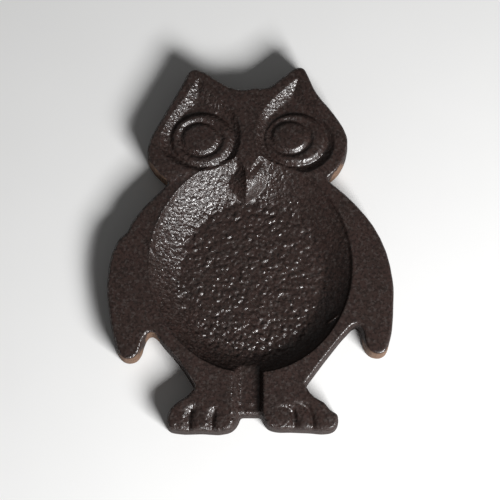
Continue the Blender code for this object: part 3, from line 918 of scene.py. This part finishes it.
# ---- the felt pads


def pad_profile(radius, top):
    """Half of a pad's section, from the middle of its top round to the middle of its underside."""
    round_in, round_down = PAD_ROUND
    upper = [(share * radius, top) for share in (0.0, 0.25, 0.5, 0.75, 0.9)]
    upper += [(radius - round_in, top), (radius - PAD_BULGE, top - round_down), (radius, top / 2)]
    return upper + [(radius, 0.0)] + [(r, -h) for r, h in reversed(upper)]


def make_pad(name):
    """A pressed felt disc: a cut edge with a slight bulge, and a fuzzy, uneven face."""
    low, high = (np.array(corner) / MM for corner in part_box(name))
    centre, radius, top = (low + high) / 2, (high[0] - low[0]) / 2 - PAD_PLAY, (high[2] - low[2]) / 2
    fuzz_across, fuzz_up = PAD_FUZZ
    bm = bmesh.new()
    rings = []
    for r, h in pad_profile(radius, top):
        ring = []
        for k in range(1 if r == 0.0 else PAD_SIDES):
            angle = 2 * math.pi * k / PAD_SIDES
            x, y = r * math.cos(angle), r * math.sin(angle)
            fuzz = 1.0 + noise.noise(Vector((x + centre[0], y + centre[1], h)) / PAD_FUZZ_SIZE)
            shrink = 1.0 - fuzz_across * fuzz
            z = h * (1.0 - fuzz_up * fuzz) if h > 0 else h
            ring.append(bm.verts.new(Vector((x * shrink, y * shrink, z)) * MM))
        rings.append(ring)
    for above, below in zip(rings, rings[1:]):
        for k in range(PAD_SIDES):
            j = (k + 1) % PAD_SIDES
            corners = [above[k % len(above)], above[j % len(above)]]
            corners += [below[j % len(below)], below[k % len(below)]]
            bm.faces.new(list(dict.fromkeys(corners)))
    bmesh.ops.recalc_face_normals(bm, faces=bm.faces)
    pad = finished(bm, f"{name}_felt")
    pad.location = centre * MM
    return pad


# ---- materials


class Nodes:
    """Short calls for a material's nodes."""

    def __init__(self, name):
        self.material = bpy.data.materials.new(name)
        self.material.use_nodes = True
        self.tree = self.material.node_tree
        self.shader = self.tree.nodes["Principled BSDF"]
        self.place = self.add("ShaderNodeTexCoord").outputs["Object"]

    def add(self, kind, **settings):
        node = self.tree.nodes.new(kind)
        for key, value in settings.items():
            setattr(node, key, value)
        return node

    def link(self, source, target):
        self.tree.links.new(source, target)

    def noise(self, size_mm, detail=3.0, roughness=0.55, distortion=0.0):
        node = self.add("ShaderNodeTexNoise")
        self.link(self.place, node.inputs["Vector"])
        node.inputs["Scale"].default_value = 1.0 / (size_mm * MM)
        node.inputs["Detail"].default_value = detail
        node.inputs["Roughness"].default_value = roughness
        node.inputs["Distortion"].default_value = distortion
        return node.outputs["Fac"]

    def ramp(self, source, low, high, start=(0, 0, 0), end=(1, 1, 1)):
        node = self.add("ShaderNodeValToRGB")
        first, last = node.color_ramp.elements
        first.position, last.position = low, high
        first.color, last.color = (*start, 1.0), (*end, 1.0)
        self.link(source, node.inputs["Fac"])
        return node.outputs["Color"]

    def range(self, source, to_low, to_high, low=0.0, high=1.0):
        node = self.add("ShaderNodeMapRange")
        self.link(source, node.inputs["Value"])
        for socket, value in zip(node.inputs[1:5], (low, high, to_low, to_high)):
            socket.default_value = value
        return node.outputs["Result"]

    def mix(self, amount, a, b):
        node = self.add("ShaderNodeMix", data_type="RGBA")
        self.link(amount, node.inputs["Factor"])
        for socket, value in (("A", a), ("B", b)):
            target = next(i for i in node.inputs if i.name == socket and i.type == "RGBA")
            if isinstance(value, tuple):
                target.default_value = (*value, 1.0)
            else:
                self.link(value, target)
        return next(o for o in node.outputs if o.type == "RGBA")

    def math(self, operation, a, b):
        node = self.add("ShaderNodeMath", operation=operation)
        for socket, value in zip(node.inputs, (a, b)):
            if isinstance(value, (int, float)):
                socket.default_value = value
            else:
                self.link(value, socket)
        return node.outputs["Value"]

    def near(self, place, radius):
        """Falls from 1 to 0 over a radius around an upright line through a place, both in mm."""
        flat = self.add("ShaderNodeVectorMath", operation="MULTIPLY")
        self.link(self.place, flat.inputs[0])
        flat.inputs[1].default_value = (1.0, 1.0, 0.0)
        far = self.add("ShaderNodeVectorMath", operation="DISTANCE")
        self.link(flat.outputs["Vector"], far.inputs[0])
        far.inputs[1].default_value = (place[0] * MM, place[1] * MM, 0.0)
        start, end = (share * radius * MM for share in RUBBED_AND_REFLECTION_FADE)
        return self.range(far.outputs["Value"], 1.0, 0.0, start, end)

    def along(self, axis, start, end, low, high):
        """Goes from low to high between two places along an axis, in mm."""
        parts = self.add("ShaderNodeSeparateXYZ")
        self.link(self.place, parts.inputs[0])
        return self.range(parts.outputs[axis], low, high, start * MM, end * MM)

    def tilt(self, level, steep):
        """Rises from 0 to 1 as the surface's normal leaves the upright, between two heights of it."""
        parts = self.add("ShaderNodeSeparateXYZ")
        self.link(self.add("ShaderNodeNewGeometry").outputs["Normal"], parts.inputs[0])
        return self.range(self.math("ABSOLUTE", parts.outputs["Z"], 0.0), 1.0, 0.0, steep, level)

    def bump(self, height, distance_mm, strength, after=None):
        node = self.add("ShaderNodeBump")
        node.inputs["Distance"].default_value = distance_mm * MM
        if isinstance(strength, float):
            node.inputs["Strength"].default_value = strength
        else:
            self.link(strength, node.inputs["Strength"])
        self.link(height, node.inputs["Height"])
        if after is not None:
            self.link(after, node.inputs["Normal"])
        return node.outputs["Normal"]


def add_rubbed_and_reflection(nodes, paint):
    """Brown bare iron, and in part a painted warm reflection, on the side wall in patches around the
    listed places.
    """
    patch = 0.0
    for place, radius in RUBBED_AND_REFLECTION:
        patch = nodes.math("MAXIMUM", nodes.near(place, radius), patch)
    ragged = nodes.math("ADD", patch, nodes.range(nodes.noise(2.6, 5.0, 0.7), -0.9, 0.55))
    # painted reflection as well as wear: the patches grow towards the foot of the wall, next to the floor
    ragged = nodes.math("ADD", ragged, nodes.along("Z", 4.0, 12.0, 0.15, -0.35))
    amount = nodes.math("MULTIPLY", nodes.ramp(ragged, 0.22, 0.50), nodes.tilt(0.6, 0.25))
    return nodes.mix(amount, paint, nodes.mix(nodes.noise(2.2, 4.0, 0.6), BARE_AND_REFLECTION_DARK, BARE_AND_REFLECTION_LIGHT))


def paint_colour(nodes):
    """The paint's own colour: two slow tones, redder blotches, grey dust and dark pores."""
    tone = nodes.ramp(nodes.noise(9.0, 4.0, 0.6), 0.35, 0.68)
    paint = nodes.mix(tone, PAINT_DARK, PAINT_LIGHT)
    blotches = nodes.ramp(nodes.noise(1.9, 3.0, 0.6, 0.4), 0.50, 0.70)
    paint = nodes.mix(nodes.math("MULTIPLY", blotches, 0.5), paint, PAINT_BLOTCH)
    dusty = nodes.ramp(nodes.noise(1.3, 2.0, 0.6), 0.54, 0.62)
    paint = nodes.mix(nodes.math("MULTIPLY", dusty, 0.65), paint, PAINT_DUST)
    pores = nodes.ramp(nodes.noise(1.1, 1.0, 0.6), 0.52, 0.58)
    return nodes.mix(nodes.math("MULTIPLY", pores, 0.6), paint, PAINT_PORE)


def iron_material():
    """Sand-cast iron under a thin red-black paint: glossier on top, and duller on the side wall."""
    nodes = Nodes("painted_cast_iron")
    inputs = nodes.shader.inputs
    # the paint's colour, with bare-iron patches on the side wall that are partly a painted warm reflection
    nodes.link(add_rubbed_and_reflection(nodes, paint_colour(nodes)), inputs["Base Color"])
    gloss = nodes.range(nodes.noise(1.4, 4.0, 0.65), *IRON_ROUGHNESS)
    dull = nodes.tilt(*DULL_NORMAL)
    rough_wall = nodes.math("MULTIPLY", dull, WALL_ROUGHNESS)
    nodes.link(nodes.math("MAXIMUM", gloss, rough_wall), inputs["Roughness"])
    inputs["Specular IOR Level"].default_value = IRON_SPECULAR
    sloping = nodes.range(nodes.tilt(*LEVEL_NORMAL), LEVEL_BUMPS, 1.0)
    sloping = nodes.math("MULTIPLY", sloping, nodes.along("X", *WORN_X, 1.0, WORN_BUMPS))
    nodes.link(nodes.bump(nodes.noise(1.4, 2.0, 0.5), PAINT_BUMP, sloping), inputs["Normal"])
    nodes.link(nodes.bump(nodes.noise(1.1, 1.0, 0.4), COAT_BUMP, sloping), inputs["Coat Normal"])
    patchy = nodes.range(nodes.noise(2.4, 3.0, 0.6), COAT_LEAST, 1.0, 0.38, 0.58)
    coat = nodes.math("MULTIPLY", nodes.range(dull, COAT_WEIGHT, 0.0), patchy)
    nodes.link(coat, inputs["Coat Weight"])
    inputs["Coat Roughness"].default_value = COAT_ROUGHNESS
    return nodes.material


def felt_material():
    """Black pressed felt: short matted fibres with a faint sheen and grey lint."""
    nodes = Nodes("black_felt")
    inputs = nodes.shader.inputs
    fibres = nodes.noise(0.25, 5.0, 0.75, 1.2)
    cloth = nodes.mix(nodes.ramp(fibres, 0.35, 0.7), FELT_DARK, FELT_LIGHT)
    lint = nodes.ramp(nodes.noise(0.9, 4.0, 0.8, 2.0), 0.66, 0.74)
    nodes.link(nodes.mix(nodes.math("MULTIPLY", lint, 0.35), cloth, LINT), inputs["Base Color"])
    inputs["Roughness"].default_value = 0.95
    inputs["Sheen Weight"].default_value = 0.35
    inputs["Sheen Roughness"].default_value = 0.6
    nodes.link(nodes.bump(fibres, 0.12, 0.9), inputs["Normal"])
    return nodes.material


def floor_material():
    nodes = Nodes("pale_floor")
    inputs = nodes.shader.inputs
    nodes.link(nodes.mix(nodes.noise(40.0, 2.0), FLOOR_DARK, FLOOR_LIGHT), inputs["Base Color"])
    inputs["Roughness"].default_value = 0.8
    inputs["Specular IOR Level"].default_value = 0.2
    return nodes.material


# ---- stage


def make_floor():
    bpy.ops.mesh.primitive_plane_add(size=FLOOR_SIZE, location=(0.0, 0.0, 0.0))
    floor = bpy.context.object
    floor.name = "floor"
    floor.data.materials.append(floor_material())


def look_from(thing, target, azimuth, elevation, distance):
    """Places a camera or a light at a distance from target, and turns it to look at it."""
    turn, rise = math.radians(azimuth), math.radians(elevation)
    way = Vector((math.cos(turn) * math.cos(rise), math.sin(turn) * math.cos(rise), math.sin(rise)))
    thing.location = target + way * distance
    thing.rotation_euler = (-way).to_track_quat("-Z", "Y").to_euler()
    bpy.context.scene.collection.objects.link(thing)


def add_light(name, target, azimuth, elevation, distance, size, energy):
    light = bpy.data.lights.new(name, "AREA")
    light.shape = "RECTANGLE"
    light.size, light.size_y = size
    light.energy = energy
    look_from(bpy.data.objects.new(name, light), target, azimuth, elevation, distance)


def make_camera(target):
    """Almost straight down on the dish, leaning a little towards its feet."""
    camera = bpy.data.objects.new("camera", bpy.data.cameras.new("camera"))
    camera.data.angle = 2 * math.atan(VIEW_WIDTH / 2 / CAMERA_DISTANCE)
    look_from(camera, target, -90.0, CAMERA_ELEVATION, CAMERA_DISTANCE)
    bpy.context.scene.camera = camera


def make_stage(low, high):
    middle = Vector([(a + b) / 2 for a, b in zip(low, high)])
    make_camera(middle + Vector(CAMERA_AIM))
    make_floor()
    add_light("key", middle, **KEY_LIGHT)
    add_light("fill", middle, **FILL_LIGHT)
    world = bpy.data.worlds.new("studio")
    bpy.context.scene.world = world
    world.use_nodes = True
    world.node_tree.nodes["Background"].inputs["Color"].default_value = WORLD_COLOUR
    world.node_tree.nodes["Background"].inputs["Strength"].default_value = WORLD_STRENGTH
    bpy.context.scene.view_settings.view_transform = "Standard"


# ---- all together

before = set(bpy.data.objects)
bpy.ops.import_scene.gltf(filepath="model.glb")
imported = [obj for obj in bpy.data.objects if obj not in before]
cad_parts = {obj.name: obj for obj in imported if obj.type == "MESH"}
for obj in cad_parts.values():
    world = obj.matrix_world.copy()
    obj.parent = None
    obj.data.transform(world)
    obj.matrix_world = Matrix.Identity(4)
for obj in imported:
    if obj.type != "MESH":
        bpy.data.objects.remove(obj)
cad_low, cad_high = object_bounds()

iron = iron_material()
felt = felt_material()
pad_places = [tuple((np.array(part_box(name)[0]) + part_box(name)[1])[:2] / 2 / MM) for name in PADS]
casting = make_casting(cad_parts["owl_casting"], pad_places)
casting.data.materials.append(iron)
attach(casting, "root")
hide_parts("owl_casting")

for pad_name in PADS:
    pad = make_pad(pad_name)
    pad.data.materials.append(felt)
    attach(pad, "root")
    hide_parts(pad_name)

make_stage(cad_low, cad_high)
